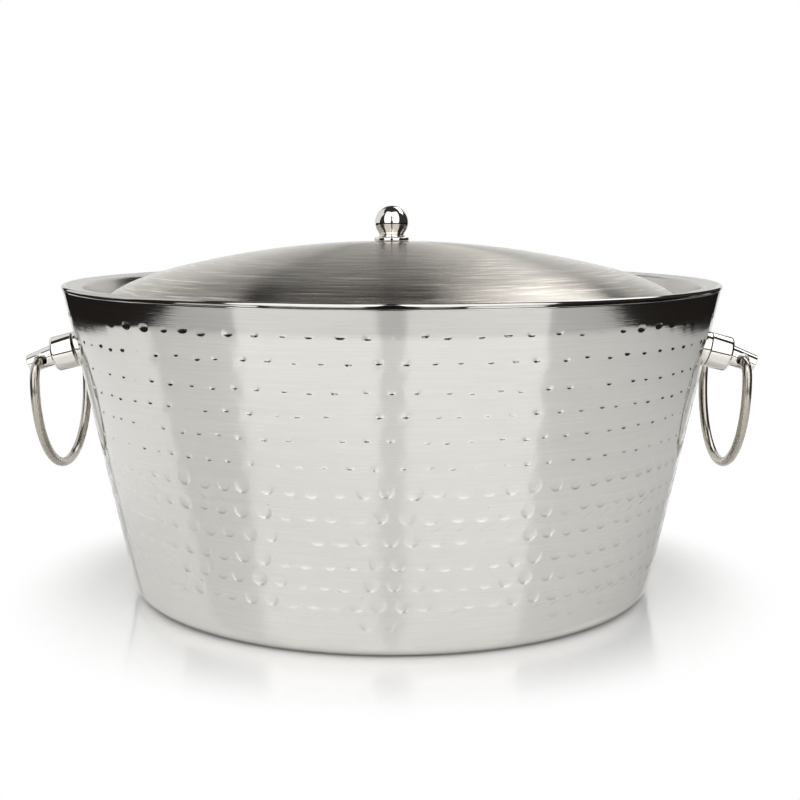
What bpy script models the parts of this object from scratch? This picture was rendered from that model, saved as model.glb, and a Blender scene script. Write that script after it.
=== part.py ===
"""Double-walled steel beverage tub with a domed lift-off lid and a wire bail at each side.

Units are metres and +Z is up. The origin is the middle of the base, on the surface that the tub stands on.
+X runs through the right-hand handle, and +Y points away from someone who faces the tub.
"""

import math

import bmesh
import bpy
from mathutils import Euler, Vector

# The tub: an outer shell, and an inner shell whose rim is rolled over the outer one
RIM_RADIUS = 0.200
HEIGHT = 0.190
WALL_LEAN = math.radians(11.75)
SHELL_SHEET = 0.0008
BASE_CORNER = 0.011
BASE_RING = 0.024
BASE_RECESS = 0.0015
BASE_STEP = 0.003
LIP_ROLL = 0.0016
LIP_LEG = 0.0010
JOGGLE_HEIGHT = 0.0014
RIM_LAND = 0.012
LAND_FALL = 0.0012
INNER_FLOOR = 0.012
INNER_CORNER = 0.012
FORMING_RADIUS = 0.0015

# The ledge that the inner shell has for the lid
LEDGE_DEPTH = 0.0150
LEDGE_WIDTH = 0.0046

# The lid: a shallow dome that turns down over a tighter shoulder to a beaded edge
LID_SHEET = 0.0010
LID_RISE = 0.0244
LID_PLAY = 0.0006
LID_BEAD = 0.0014
DOME_SHARE_OF_RADIUS = 0.765
DOME_SHARE_OF_FALL = 0.478

# The knob on its flange
FLANGE_RADIUS = 0.01075
FLANGE_THICKNESS = 0.0019
FLANGE_EDGE = 0.0005
KNOB_BALL = 0.0103
KNOB_CENTRE = 0.0114
KNOB_NECK = 0.00745
KNOB_NECK_HEIGHT = 0.0016
KNOB_FOOT = 0.0082
KNOB_TAPER_MEETS = math.radians(-25)
KNOB_BORE_DEPTH = 0.0085

# The handle mounts: collar, boss and post
HANDLE_HEIGHT = 0.1489
HANDLE_DROOP = math.radians(14.75)
COLLAR_LENGTH = 0.0058
COLLAR_EDGE = 0.0004
BOSS_RADIUS = 0.011
BOSS_LENGTH = 0.0142
BOSS_FILLET = 0.0020
POST_DROOP = math.radians(21)
POST_LENGTH = 0.0168
POST_ROOT_RADIUS = 0.0065
POST_TIP_RADIUS = 0.0057
POST_EDGE = 0.0005
SPIGOT_RADIUS = 0.0038
SPIGOT_LENGTH = 0.0055
HOLE_REACH = 0.0080
HOLE_RADIUS = 0.0041

# The bails: a straight bar, two tight corners and a round bow
WIRE_RADIUS = 0.0030
BOW_RADIUS = 0.0520
BOW_DEPTH = 0.0180
BAIL_CORNER = 0.0115
BAIL_SLIDE = 0.0350
BAIL_DROP = 0.00065
BAIL_TIP = math.radians(0.9)
BAIL_LEAN = math.radians(1.6)
BAIL_YAW = {"left": math.radians(4.9), "right": math.radians(1.7)}

# The fastenings
SCREW_RADIUS = 0.0025
SCREW_HEAD_RADIUS = 0.0048
SCREW_HEAD_HEIGHT = 0.0032
SCREW_HEAD_EDGE = 0.0012
SCREW_CHAMFER = 0.0004
WASHER_RADIUS = 0.0062
WASHER_THICKNESS = 0.0010
BOSS_SCREW_DEPTH = 0.0050

# Clearances
GAP = 0.0003
BORE_END_GAP = 0.0010

# How finely the round forms are divided
SHELL_SEGMENTS = 56
FITTING_SEGMENTS = 24
SCREW_SEGMENTS = 12
WIRE_SIDES = 10
BAR_STEPS = 2
BAIL_CORNER_STEPS = 5
BOW_STEPS = 26
DOME_STEPS = 4
SHOULDER_STEPS = 4
BEAD_STEPS = 7
TUB_CORNER_STEPS = 4
FORMING_STEPS = 1
LIP_STEPS = 3
BALL_STEPS = 9
FILLET_STEPS = 4
EDGE_STEPS = 2

SIDES = {"left": -1, "right": 1}


def clear_scene():
    for item in list(bpy.data.objects):
        bpy.data.objects.remove(item)


def steel(name, colour, roughness):
    """A bare metal: colour is linear RGB."""
    material = bpy.data.materials.new(name)
    material.use_nodes = True
    shader = material.node_tree.nodes["Principled BSDF"]
    shader.inputs["Base Color"].default_value = (*colour, 1)
    shader.inputs["Metallic"].default_value = 1
    shader.inputs["Roughness"].default_value = roughness
    return material


def empty(name, parent=None, location=(0, 0, 0), rotation=(0, 0, 0)):
    item = bpy.data.objects.new(name, None)
    item.location = location
    item.rotation_euler = rotation
    item.parent = parent
    bpy.context.collection.objects.link(item)
    return item


def solid(name, vertices, faces, material, parent, location=(0, 0, 0), rotation=(0, 0, 0)):
    """An object from vertices and faces, with its normals turned outward and its round sides smooth."""
    mesh = bpy.data.meshes.new(name)
    mesh.from_pydata(vertices, [], faces)
    work = bmesh.new()
    work.from_mesh(mesh)
    bmesh.ops.recalc_face_normals(work, faces=work.faces)
    work.to_mesh(mesh)
    work.free()
    mesh.shade_smooth()
    mesh.set_sharp_from_angle(angle=math.radians(35))
    mesh.materials.append(material)
    item = bpy.data.objects.new(name, mesh)
    item.location = location
    item.rotation_euler = rotation
    item.parent = parent
    bpy.context.collection.objects.link(item)
    return item


def turned(name, outline, segments, material, parent, location=(0, 0, 0), rotation=(0, 0, 0)):
    """A solid of revolution about local Z.

    The outline is a list of (radius, height). One that starts or ends on the axis closes there in a pole. Any
    other outline closes on itself and makes a ring.
    """
    vertices = []
    rings = []
    for radius, height in outline:
        first = len(vertices)
        if radius == 0:
            vertices.append((0, 0, height))
            rings.append([first] * segments)
            continue
        for step in range(segments):
            angle = math.tau * step / segments
            vertices.append((radius * math.cos(angle), radius * math.sin(angle), height))
        rings.append(list(range(first, first + segments)))
    closes_on_axis = outline[0][0] == 0
    pairs = list(zip(rings, rings[1:]))
    if not closes_on_axis:
        pairs.append((rings[-1], rings[0]))
    faces = []
    for low, high in pairs:
        for step in range(segments):
            after = (step + 1) % segments
            corners = [low[step], low[after], high[after], high[step]]
            faces.append(list(dict.fromkeys(corners)))
    return solid(name, vertices, faces, material, parent, location, rotation)


def cutter(name, outline, segments, parent, location=(0, 0, 0), rotation=(0, 0, 0)):
    item = turned(name, outline, segments, None, parent, location, rotation)
    item.hide_render = True
    item.display_type = "WIRE"
    return item


def cut(target, tool):
    modifier = target.modifiers.new("cut by " + tool.name, "BOOLEAN")
    modifier.operation = "DIFFERENCE"
    modifier.object = tool


def arc(centre, radius, start, end, steps):
    """Points on a circle in the (radius, height) plane, from one angle to another, both included."""
    points = []
    for step in range(steps + 1):
        angle = start + (end - start) * step / steps
        points.append((centre[0] + radius * math.cos(angle), centre[1] + radius * math.sin(angle)))
    return points


def rounded(points, radii, steps):
    """A polyline whose inner corners are replaced by tangent arcs of the given radii."""
    path = [points[0]]
    for before, corner, after, radius in zip(points, points[1:], points[2:], radii):
        here = Vector(corner)
        into = (here - Vector(before)).normalized()
        out = (Vector(after) - here).normalized()
        turn = into.angle(out)
        setback = radius * math.tan(turn / 2)
        start = here - into * setback
        side = 1 if into.cross(out) > 0 else -1
        normal = Vector((-into.y, into.x)) * side
        centre = start + normal * radius
        for step in range(steps + 1):
            swing = side * turn * step / steps
            arm = -normal * radius
            path.append(
                (
                    centre.x + arm.x * math.cos(swing) - arm.y * math.sin(swing),
                    centre.y + arm.x * math.sin(swing) + arm.y * math.cos(swing),
                )
            )
    path.append(points[-1])
    return path


def offset(path, distance):
    """The path moved sideways, to the left of its direction, with mitred corners; ends move square to the path."""
    moved = []
    for index, point in enumerate(path):
        here = Vector(point)
        before = Vector(path[max(index - 1, 0)])
        after = Vector(path[min(index + 1, len(path) - 1)])
        into = (here - before).normalized() if index else (after - here).normalized()
        out = (after - here).normalized() if index < len(path) - 1 else into
        bisector = (into + out).normalized()
        left = Vector((-bisector.y, bisector.x))
        stretch = distance / max(bisector.dot(into), 0.5)
        moved.append(tuple(here + left * stretch))
    return moved


def sheet(path, thickness):
    """The outline of a sheet of even thickness whose middle follows the path."""
    left = offset(path, thickness / 2)
    right = offset(path, -thickness / 2)
    if path[0][0] == 0:
        left[0] = (0, left[0][1])
        right[0] = (0, right[0][1])
    return left + right[::-1]


def wall_radius(height):
    """Outer radius of the tub's wall at a height."""
    return RIM_RADIUS - (HEIGHT - height) * math.tan(WALL_LEAN)


def outer_shell_path():
    """Middle of the outer sheet: raised centre panel, standing ring, wall, and the edge drawn in under the lip."""
    half = SHELL_SHEET / 2
    side_shift = half / math.cos(WALL_LEAN)
    corner_foot = wall_radius(half) - side_shift
    tangent = (BASE_CORNER - half) * math.tan((math.pi / 2 - WALL_LEAN) / 2)
    ring_inner = corner_foot - tangent - BASE_RING
    edge_radius = RIM_RADIUS - LIP_ROLL
    edge_top = HEIGHT - LIP_ROLL
    joggle_top = HEIGHT - LIP_ROLL - LIP_LEG - GAP
    joggle_low = joggle_top - JOGGLE_HEIGHT
    points = [
        (0, half + BASE_RECESS),
        (ring_inner - BASE_STEP, half + BASE_RECESS),
        (ring_inner, half),
        (corner_foot, half),
        (wall_radius(joggle_low) - side_shift, joggle_low),
        (edge_radius, joggle_top),
        (edge_radius, edge_top),
    ]
    radii = [FORMING_RADIUS, FORMING_RADIUS, BASE_CORNER - half, SHELL_SHEET, SHELL_SHEET]
    path = [points[0]]
    path += rounded(points[:4], radii[:2], FORMING_STEPS)[1:-1]
    path += rounded(points[2:5], radii[2:3], TUB_CORNER_STEPS)[1:-1]
    path += rounded(points[3:], radii[3:], FORMING_STEPS)[1:]
    return path


def ledge_edge_radius():
    """Radius of the inner wall's face where it comes down to the ledge."""
    return RIM_RADIUS - RIM_LAND - (LEDGE_DEPTH - LAND_FALL) * math.tan(WALL_LEAN)


def ledge_radii():
    """Radii of the inner wall's middle where it meets the ledge, above and below."""
    above = ledge_edge_radius() + SHELL_SHEET / 2 / math.cos(WALL_LEAN)
    return above, above - LEDGE_WIDTH


def inner_shell_path():
    """Middle of the inner sheet: floor, wall, lid ledge, wall, rim land and the lip rolled outward and down."""
    half = SHELL_SHEET / 2
    side_shift = half / math.cos(WALL_LEAN)
    floor = INNER_FLOOR + half
    ledge = HEIGHT - LEDGE_DEPTH - half
    above, below = ledge_radii()
    land_inner = RIM_RADIUS - RIM_LAND + side_shift
    roll_centre = (RIM_RADIUS - LIP_ROLL, HEIGHT - LIP_ROLL)
    roll = LIP_ROLL - half
    points = [
        (0, floor),
        (below - (ledge - floor) * math.tan(WALL_LEAN), floor),
        (below, ledge),
        (above, ledge),
        (land_inner, HEIGHT - LAND_FALL - half),
        (roll_centre[0], roll_centre[1] + roll),
    ]
    path = [points[0]]
    path += rounded(points[:3], [INNER_CORNER], TUB_CORNER_STEPS)[1:-1]
    path += rounded(points[1:], [FORMING_RADIUS] * 3, FORMING_STEPS)[1:-1]
    path += arc(roll_centre, roll, math.pi / 2, 0, LIP_STEPS)
    path.append((roll_centre[0] + roll, roll_centre[1] - LIP_LEG))
    return path


def lid_path():
    """Middle of the lid's sheet, from the screw hole to the middle of the beaded edge.

    The dome takes its shares of the lid's radius and of its fall, and the shoulder takes the rest.
    """
    half = LID_SHEET / 2
    apex = HEIGHT + LID_RISE - half
    edge_radius = ledge_edge_radius() - LID_PLAY - LID_BEAD
    dome_radius = DOME_SHARE_OF_RADIUS * edge_radius
    dome_fall = DOME_SHARE_OF_FALL * (apex - lid_bead_height())
    dome = (dome_radius**2 + dome_fall**2) / (2 * dome_fall)
    reach = math.asin(dome_radius / dome)
    dome_centre = (0, apex - dome)
    hole = math.asin((SCREW_RADIUS + GAP) / dome)
    flange = math.asin(FLANGE_RADIUS / dome)
    path = arc(dome_centre, dome, math.pi / 2 - hole, math.pi / 2 - flange, 1)
    path += arc(dome_centre, dome, math.pi / 2 - flange, math.pi / 2 - reach, DOME_STEPS)[1:]
    shoulder_start = Vector(path[-1])
    edge = Vector((edge_radius, lid_bead_height()))
    chord = edge - shoulder_start
    rise_angle = -reach
    chord_angle = math.atan2(chord.y, chord.x)
    half_turn = rise_angle - chord_angle
    shoulder = chord.length / 2 / math.sin(half_turn)
    normal = Vector((math.sin(rise_angle), -math.cos(rise_angle)))
    centre = shoulder_start + normal * shoulder
    level = math.pi / 2 - reach
    path += arc(centre, shoulder, level, level - 2 * half_turn, SHOULDER_STEPS)[1:]
    return path


def lid_bead_height():
    """The bead's lowest point is one clearance above the ledge."""
    return HEIGHT - LEDGE_DEPTH + GAP + LID_BEAD


def lid_outline():
    """The lid's sheet, closed at its outer edge by a round bead."""
    path = lid_path()
    half = LID_SHEET / 2
    top = offset(path, half)[:-1]
    under = offset(path, -half)[:-1]
    last = Vector(path[-1]) - Vector(path[-2])
    heading = math.atan2(last.y, last.x)
    joins = math.pi - math.asin(half / LID_BEAD)
    bead = arc(path[-1], LID_BEAD, heading + joins, heading - joins, BEAD_STEPS)
    return top + bead + under[::-1]


def knob_outline():
    """A ball that tapers almost straight to a neck and a flared foot, with a blind bore from below."""
    bore = SCREW_RADIUS + GAP
    foot = FLANGE_THICKNESS + 2 * GAP
    ball = arc((0, KNOB_CENTRE), KNOB_BALL, KNOB_TAPER_MEETS, math.pi / 2, BALL_STEPS)
    flare = KNOB_FOOT - KNOB_NECK
    side = [
        (KNOB_FOOT, foot),
        (KNOB_FOOT, foot + flare / 2),
        (KNOB_NECK + flare / 4, foot + flare),
        (KNOB_NECK, foot + KNOB_NECK_HEIGHT),
    ]
    bore_top = foot + KNOB_BORE_DEPTH
    return [(0, bore_top), (bore, bore_top), (bore, foot)] + side + ball[:-1] + [(0, KNOB_CENTRE + KNOB_BALL)]


def flange_outline():
    bore = SCREW_RADIUS + GAP
    low = GAP
    high = low + FLANGE_THICKNESS
    edge = arc((FLANGE_RADIUS - FLANGE_EDGE, high - FLANGE_EDGE), FLANGE_EDGE, 0, math.pi / 2, EDGE_STEPS)
    return [(bore, low), (FLANGE_RADIUS, low)] + edge + [(bore, high)]


def washer_outline():
    """A washer that lies on z = 0 and reaches down."""
    bore = SCREW_RADIUS + GAP
    return [(bore, 0), (bore, -WASHER_THICKNESS), (WASHER_RADIUS, -WASHER_THICKNESS), (WASHER_RADIUS, 0)]


def screw_outline(length):
    """A pan-head screw whose head bears on z = 0 from below and whose shank reaches up."""
    low = -SCREW_HEAD_HEIGHT
    edge_centre = (SCREW_HEAD_RADIUS - SCREW_HEAD_EDGE, low + SCREW_HEAD_EDGE)
    head = arc(edge_centre, SCREW_HEAD_EDGE, -math.pi / 2, 0, EDGE_STEPS)
    shank = [
        (SCREW_HEAD_RADIUS, 0),
        (SCREW_RADIUS, 0),
        (SCREW_RADIUS, length - SCREW_CHAMFER),
        (SCREW_RADIUS - SCREW_CHAMFER, length),
        (0, length),
    ]
    return [(0, low)] + head + shank


def collar_outline():
    """A sleeve about the handle's axis, long enough to be cut to the wall at its back."""
    bore = SCREW_RADIUS + GAP
    front = collar_front()
    edge = arc((BOSS_RADIUS - COLLAR_EDGE, front - COLLAR_EDGE), COLLAR_EDGE, 0, math.pi / 2, EDGE_STEPS)
    return [(bore, -BOSS_RADIUS), (BOSS_RADIUS, -BOSS_RADIUS)] + edge + [(bore, front)]


def collar_front():
    return GAP + COLLAR_LENGTH


def boss_face():
    """Where the boss's outer face lies along the handle's axis, from the wall."""
    return collar_front() + GAP + BOSS_LENGTH


def boss_outline():
    """The boss along the handle's axis, with the screw's blind bore at its back."""
    bore = SCREW_RADIUS + GAP
    back = collar_front() + GAP
    face = boss_face()
    bore_end = back + BOSS_SCREW_DEPTH + BORE_END_GAP
    fillet = arc((BOSS_RADIUS - BOSS_FILLET, face - BOSS_FILLET), BOSS_FILLET, 0, math.pi / 2, FILLET_STEPS)
    rim = [(bore, back), (BOSS_RADIUS - COLLAR_EDGE, back), (BOSS_RADIUS, back + COLLAR_EDGE)]
    return [(0, bore_end), (bore, bore_end)] + rim + fillet + [(0, face)]


def spot_depth():
    """How far the post's shoulder is let into the boss, so that the steeper post seats all round."""
    return POST_ROOT_RADIUS * math.tan(POST_DROOP - HANDLE_DROOP)


def post_outline():
    """The post about its own axis, whose zero lies at the boss's face: spigot, shoulder, taper and tip."""
    shoulder = -spot_depth()
    low = shoulder - SPIGOT_LENGTH
    edge_start = POST_TIP_RADIUS - POST_EDGE
    edge = arc((edge_start, POST_LENGTH - POST_EDGE), POST_EDGE, 0, math.pi / 2, EDGE_STEPS)
    root = [(0, low), (SPIGOT_RADIUS, low), (SPIGOT_RADIUS, shoulder), (POST_ROOT_RADIUS, shoulder)]
    return root + edge + [(0, POST_LENGTH)]


def post_seat_outline():
    """What is cut from the boss for the post: a spot face and the spigot's bore."""
    bore = SPIGOT_RADIUS + GAP
    seat = POST_ROOT_RADIUS + GAP
    shoulder = -spot_depth() - GAP
    low = shoulder - SPIGOT_LENGTH
    return [(0, low), (bore, low), (bore, shoulder), (seat, shoulder), (seat, BOSS_RADIUS), (0, BOSS_RADIUS)]


def bail_path():
    """Middle of the bail's wire in its own YZ plane, with the bar on the Y axis and the bow below it.

    The bow is an arc whose centre lies under the bar. Each corner is an arc that is tangent to the bar and to
    the bow from inside.
    """
    corner_y = math.sqrt((BOW_RADIUS - BAIL_CORNER) ** 2 - (BOW_DEPTH - BAIL_CORNER) ** 2)
    meets = math.atan2(BOW_DEPTH - BAIL_CORNER, corner_y)
    path = []
    for step in range(BAR_STEPS):
        path.append((corner_y * (2 * step / BAR_STEPS - 1), 0))
    path += arc((corner_y, -BAIL_CORNER), BAIL_CORNER, math.pi / 2, meets, BAIL_CORNER_STEPS)
    path += arc((0, -BOW_DEPTH), BOW_RADIUS, meets, -math.pi - meets, BOW_STEPS)[1:]
    path += arc((-corner_y, -BAIL_CORNER), BAIL_CORNER, math.pi - meets, math.pi / 2, BAIL_CORNER_STEPS)[1:-1]
    return [(y + BAIL_SLIDE, z) for y, z in path]


def bail(name, material, parent, location, rotation):
    """The wire swept once round its closed path."""
    path = bail_path()
    count = len(path)
    vertices = []
    for index, point in enumerate(path):
        before = Vector(path[index - 1])
        after = Vector(path[(index + 1) % count])
        along = (after - before).normalized()
        across = Vector((-along.y, along.x))
        for side in range(WIRE_SIDES):
            angle = math.tau * side / WIRE_SIDES
            in_plane = Vector(point) + across * WIRE_RADIUS * math.cos(angle)
            vertices.append((WIRE_RADIUS * math.sin(angle), in_plane.x, in_plane.y))
    faces = []
    for index in range(count):
        here = index * WIRE_SIDES
        there = (index + 1) % count * WIRE_SIDES
        for side in range(WIRE_SIDES):
            after = (side + 1) % WIRE_SIDES
            faces.append((here + side, here + after, there + after, there + side))
    item = solid(name, vertices, faces, material, parent, location)
    item.rotation_mode = "YXZ"
    item.rotation_euler = rotation
    return item


def hole_point(side):
    """Centre of the post's cross hole in the tub's frame."""
    across = wall_radius(HANDLE_HEIGHT) + boss_face() * math.cos(HANDLE_DROOP) + HOLE_REACH * math.cos(POST_DROOP)
    up = HANDLE_HEIGHT - boss_face() * math.sin(HANDLE_DROOP) - HOLE_REACH * math.sin(POST_DROOP)
    return Vector((side * across, 0, up))


def make_shells(tub):
    outer = turned(
        "outer_shell",
        sheet(outer_shell_path(), SHELL_SHEET),
        SHELL_SEGMENTS,
        steel("hammered_steel", (0.62, 0.61, 0.60), 0.18),
        tub,
    )
    turned(
        "inner_shell",
        sheet(inner_shell_path(), SHELL_SHEET),
        SHELL_SEGMENTS,
        steel("satin_steel", (0.60, 0.59, 0.58), 0.28),
        tub,
    )
    return outer


def make_lid(tub):
    """The lid and what is fixed to it. Their parent stands on the lid's crown, on the axis it lifts along."""
    crown = empty("lid_lift", tub, (0, 0, HEIGHT + LID_RISE))
    turned(
        "lid",
        lid_outline(),
        SHELL_SEGMENTS,
        steel("brushed_steel", (0.58, 0.57, 0.56), 0.32),
        crown,
        (0, 0, -HEIGHT - LID_RISE),
    )
    polished = steel("polished_steel", (0.66, 0.65, 0.64), 0.08)
    turned("knob_flange", flange_outline(), FITTING_SEGMENTS, polished, crown)
    turned("knob", knob_outline(), FITTING_SEGMENTS, polished, crown)
    fixing = steel("screw_steel", (0.50, 0.50, 0.50), 0.35)
    under = -LID_SHEET - GAP
    turned("knob_washer", washer_outline(), SCREW_SEGMENTS, fixing, crown, (0, 0, under))
    bearing = under - WASHER_THICKNESS - GAP
    length = FLANGE_THICKNESS + 2 * GAP + KNOB_BORE_DEPTH - BORE_END_GAP - bearing
    turned("knob_screw", screw_outline(length), SCREW_SEGMENTS, fixing, crown, (0, 0, bearing))


def make_handle(tub, outer, name, side):
    """One handle. Its empty stands where its axis meets the wall, with local Z along the axis, outward."""
    turn = side * (math.pi / 2 + HANDLE_DROOP)
    mount = empty("handle_" + name, tub, (side * wall_radius(HANDLE_HEIGHT), 0, HANDLE_HEIGHT), (0, turn, 0))
    polished = steel("polished_steel_" + name, (0.66, 0.65, 0.64), 0.08)
    fixing = steel("screw_steel_" + name, (0.50, 0.50, 0.50), 0.35)

    collar = turned("collar_" + name, collar_outline(), FITTING_SEGMENTS, polished, mount)
    seat = wall_cutter(tub, name)
    cut(collar, seat)

    boss = turned("boss_" + name, boss_outline(), FITTING_SEGMENTS, polished, mount)
    steeper = side * (POST_DROOP - HANDLE_DROOP)
    face = (0, 0, boss_face())
    post_seat = cutter("post_seat_" + name, post_seat_outline(), FITTING_SEGMENTS, mount, face, (0, steeper, 0))
    cut(boss, post_seat)

    post = turned("post_" + name, post_outline(), FITTING_SEGMENTS, polished, mount, face, (0, steeper, 0))
    cross_outline = cylinder_outline(HOLE_RADIUS, -2 * POST_ROOT_RADIUS, 2 * POST_ROOT_RADIUS)
    cross = cutter("cross_hole_" + name, cross_outline, FITTING_SEGMENTS, post, (0, 0, HOLE_REACH), (math.pi / 2, 0, 0))
    cut(post, cross)

    washer_back = -SHELL_SHEET / math.cos(HANDLE_DROOP - WALL_LEAN) - GAP
    washer_back -= WASHER_RADIUS * math.tan(HANDLE_DROOP - WALL_LEAN)
    washer_back -= WASHER_RADIUS**2 / 2 / wall_radius(HANDLE_HEIGHT)
    turned("wall_washer_" + name, washer_outline(), SCREW_SEGMENTS, fixing, mount, (0, 0, washer_back))
    bearing = washer_back - WASHER_THICKNESS - GAP
    length = collar_front() + GAP + BOSS_SCREW_DEPTH - bearing
    turned("wall_screw_" + name, screw_outline(length), SCREW_SEGMENTS, fixing, mount, (0, 0, bearing))
    bore_outline = cylinder_outline(SCREW_RADIUS + GAP, -BOSS_RADIUS, BOSS_RADIUS)
    cut(outer, cutter("wall_hole_" + name, bore_outline, SCREW_SEGMENTS, mount))

    pivot = hole_point(side) - Vector((0, 0, BAIL_DROP))
    rest = Euler((-BAIL_TIP, side * BAIL_LEAN, side * BAIL_YAW[name]))
    bail("bail_" + name, polished, tub, pivot, rest)


def cylinder_outline(radius, low, high):
    return [(0, low), (radius, low), (radius, high), (0, high)]


def wall_cutter(tub, name):
    """The space that the wall takes up, with the clearance of a seated piece round it."""
    low = HANDLE_HEIGHT - 2 * BOSS_RADIUS
    high = HANDLE_HEIGHT + 2 * BOSS_RADIUS
    clear = GAP / math.cos(WALL_LEAN)
    outline = [(0, low), (wall_radius(low) + clear, low), (wall_radius(high) + clear, high), (0, high)]
    return cutter("wall_space_" + name, outline, SHELL_SEGMENTS, tub)


def main():
    clear_scene()
    tub = empty("tub")
    outer = make_shells(tub)
    make_lid(tub)
    for name, side in SIDES.items():
        make_handle(tub, outer, name, side)


main()
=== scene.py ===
"""Hammered steel beverage tub with a brushed lid, a polished knob and two wire bails, in a plain soft studio.

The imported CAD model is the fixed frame. Each visible piece is a surface worked out here from the same sizes, in
metres, in the frame's own axes: the origin is the middle of the base, +Z is up and -Y points at the camera.
"""

import math

import bpy
import numpy as np
from mathutils import Euler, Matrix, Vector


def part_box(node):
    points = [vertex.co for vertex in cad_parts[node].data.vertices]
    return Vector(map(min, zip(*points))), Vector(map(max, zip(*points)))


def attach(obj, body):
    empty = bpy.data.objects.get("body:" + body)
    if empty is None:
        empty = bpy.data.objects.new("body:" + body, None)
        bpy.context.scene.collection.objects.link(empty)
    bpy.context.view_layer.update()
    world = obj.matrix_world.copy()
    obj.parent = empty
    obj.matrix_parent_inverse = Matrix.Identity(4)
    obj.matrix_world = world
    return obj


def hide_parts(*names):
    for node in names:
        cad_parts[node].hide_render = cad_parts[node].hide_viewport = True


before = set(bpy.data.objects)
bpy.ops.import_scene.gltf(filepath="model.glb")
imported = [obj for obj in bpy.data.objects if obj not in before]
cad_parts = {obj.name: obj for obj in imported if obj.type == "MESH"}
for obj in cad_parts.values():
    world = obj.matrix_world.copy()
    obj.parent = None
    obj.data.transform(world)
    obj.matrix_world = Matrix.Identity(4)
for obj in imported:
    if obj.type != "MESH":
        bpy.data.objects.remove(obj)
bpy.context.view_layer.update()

bl_info = {
    "name": "Hammered beverage tub",
    "version": (1, 0, 0),
    "blender": (4, 5, 0),
    "location": "View3D > Sidebar > Tub",
    "description": "Makes the visible pieces, finishes and studio of a hammered steel beverage tub",
    "category": "Object",
}

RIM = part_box("inner_shell")[1]

# The tub's sheets
WALL_LEAN = math.radians(11.75)
SHEET = 0.0008
HALF_SHEET = SHEET / 2
SIDE_SHIFT = HALF_SHEET / math.cos(WALL_LEAN)
BASE_CORNER = 0.011
BASE_RING = 0.024
BASE_RECESS = 0.0015
BASE_STEP = 0.003
FORMING_RADIUS = 0.0015
JOGGLE_HEIGHT = 0.0003
JOGGLE_BEND = 0.00045
LIP_ROLL = 0.0016
LIP_LEG = 0.0010
LIP_GAP = 0.0003
LIP_TUCK = 0.00025
RIM_LAND = 0.012
LAND_FALL = 0.0012
INNER_FLOOR = 0.012
INNER_CORNER = 0.012
LEDGE_DEPTH = 0.0150
LEDGE_WIDTH = 0.0046

# The lip's unevenness as sines: waves in one turn, phase and size
LIP_WAVES = ((8, 2.4, 0.8), (3, 0.4, 0.2), (19, 4.4, 0.25), (31, 1.2, 0.15))

# The plain band above the marks: the lean that it shades with at the rim, and how much less that is at its foot
BAND_LEAN = math.radians(8.4)
BAND_HOLLOW = math.radians(0.6)
BAND_FOOT = 0.1722
BAND_BLEND = 0.0030

# The hammer marks: the heights of their rows, how far they stray from even places, and how hard they were struck
DENT_ROWS = (
    0.1740, 0.1610, 0.1462, 0.1338, 0.1210, 0.1072, 0.0940, 0.0806, 0.0680, 0.0544, 0.0428, 0.0315, 0.0208
)
WIDE_ROWS = 7
ROW_SHIFT = 0.16
WIDE_STRAY = 0.0008
NARROW_STRAY = 0.0024
LEVEL_SCATTER = 0.00035
LEVEL_STRAY = 0.0008
WEAK_SHARE = 0.07
WEAK_FORCE = 0.25
BOTTOM_SHARE = 0.35
BOTTOM_FORCE = 0.7
TOP_FORCE = 0.85
NARROW_STRETCH = 1.35
TOP_STRETCH = 1.5
SLOPE_MIDDLE = 0.53
SLOPE_TILT = 0.47

# The smallest and largest mark, as shares of the usual one
FORCE_RANGE = (0.75, 1.08)
PIT_RANGE = (0.85, 1.1)
TOP_PIT_RANGE = (0.62, 1.08)
BOWL_RANGE = (0.92, 1.08)
WIDE_RANGE = (0.88, 1.04)

# The lid and its knob
LID_SHEET = 0.0010
LID_RISE = 0.0244
LID_PLAY = 0.0006
LID_BEAD = 0.0014
DOME_SHARE_OF_RADIUS = 0.765
DOME_SHARE_OF_FALL = 0.478
FLANGE_RADIUS = 0.01075
FLANGE_THICKNESS = 0.0019
FLANGE_EDGE = 0.0005
KNOB_BALL = 0.01029
KNOB_CENTRE = 0.0114
KNOB_NECK = 0.00745
KNOB_NECK_START = 0.0011
KNOB_NECK_END = 0.0016
KNOB_FOOT = 0.0082
KNOB_FOOT_FLAT = 0.002
KNOB_FOOT_HEIGHT = 0.0006
KNOB_BENDS = (0.00015, 0.0003, 0.0003, 0.0008)
KNOB_TAPER_MEETS = -25  # degrees round the ball, where the neck's taper runs into it

# The handle mounts
HANDLE_HEIGHT = 0.1489
HANDLE_DROOP = math.radians(14.75)
COLLAR_LENGTH = 0.0058
COLLAR_EDGE = 0.0004
COLLAR_OPENING = {"left": 0.0022, "right": 0.0001}
OPENING_AT_TOP = 0.3
SEAT_EDGE_IN = 0.0003
SEAT_EDGE_OUT = 0.00025
BOSS_RADIUS = 0.011
BOSS_LENGTH = 0.0142
BOSS_FILLET = 0.0020
POCKET_LAND = 0.0012
POST_DROOP = math.radians(21)
POST_LENGTH = 0.01674
POST_ROOT_RADIUS = 0.0065
POST_TIP_RADIUS = 0.0057
POST_ROOT_EDGE = 0.0001
POST_EDGE = 0.0005
HOLE_REACH = 0.0080
HOLE_RADIUS = 0.0041
DRILL_REACH = 0.01
NEARLY_ALONG = 0.985

# The bails
WIRE_RADIUS = 0.00295
BOW_RADIUS = 0.0520
BOW_DEPTH = 0.0180
BAIL_CORNER = 0.0115
BAIL_SLIDE = 0.0350
BAIL_DROP = 0.00065
BAIL_TIP = math.radians(0.9)
BAIL_LEAN = math.radians(1.6)
BAIL_YAW = {"left": math.radians(4.9), "right": math.radians(1.7)}

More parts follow.
